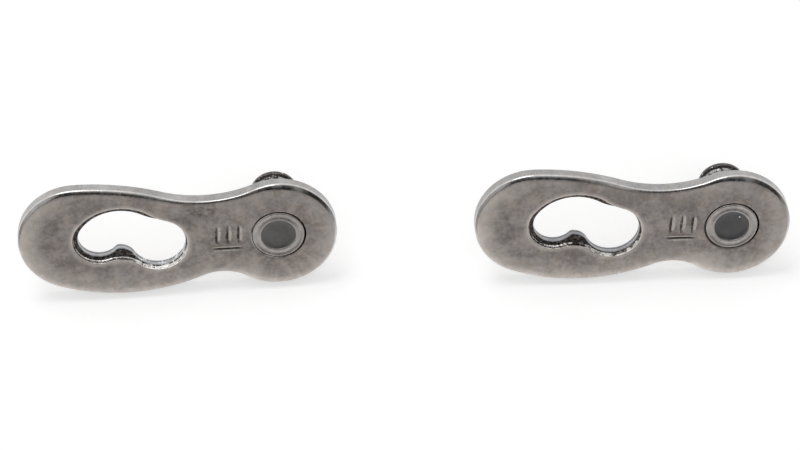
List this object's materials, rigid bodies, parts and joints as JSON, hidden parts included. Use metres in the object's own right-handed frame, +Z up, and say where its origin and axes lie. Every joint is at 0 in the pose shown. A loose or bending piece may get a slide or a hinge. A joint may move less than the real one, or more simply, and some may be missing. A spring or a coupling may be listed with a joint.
{
  "type": "chain connecting link",
  "caption": "Uncoupled quick connecting link of a roller chain: like halves, each an outer plate with a stepped keyhole and a riveted pin with a hooked tip.",
  "frame": {"origin": "on the ground, under the centre of the pair's bounding box", "axes": "+Z up, +X along the pair from the left half to the right half, the outer faces look towards -Y and up"},
  "size_m": [0.0549, 0.012, 0.0084],
  "materials": {
    "plate_steel": "tumbled, satin, nickel-plated look",
    "pin_steel": "ground, satin, with a darker blind recess in the head"
  },
  "bodies": {
    "root": {"left_plate": "plate_steel", "left_pin": "pin_steel", "right_plate": "plate_steel", "right_pin": "pin_steel"}
  },
  "joints": []
}
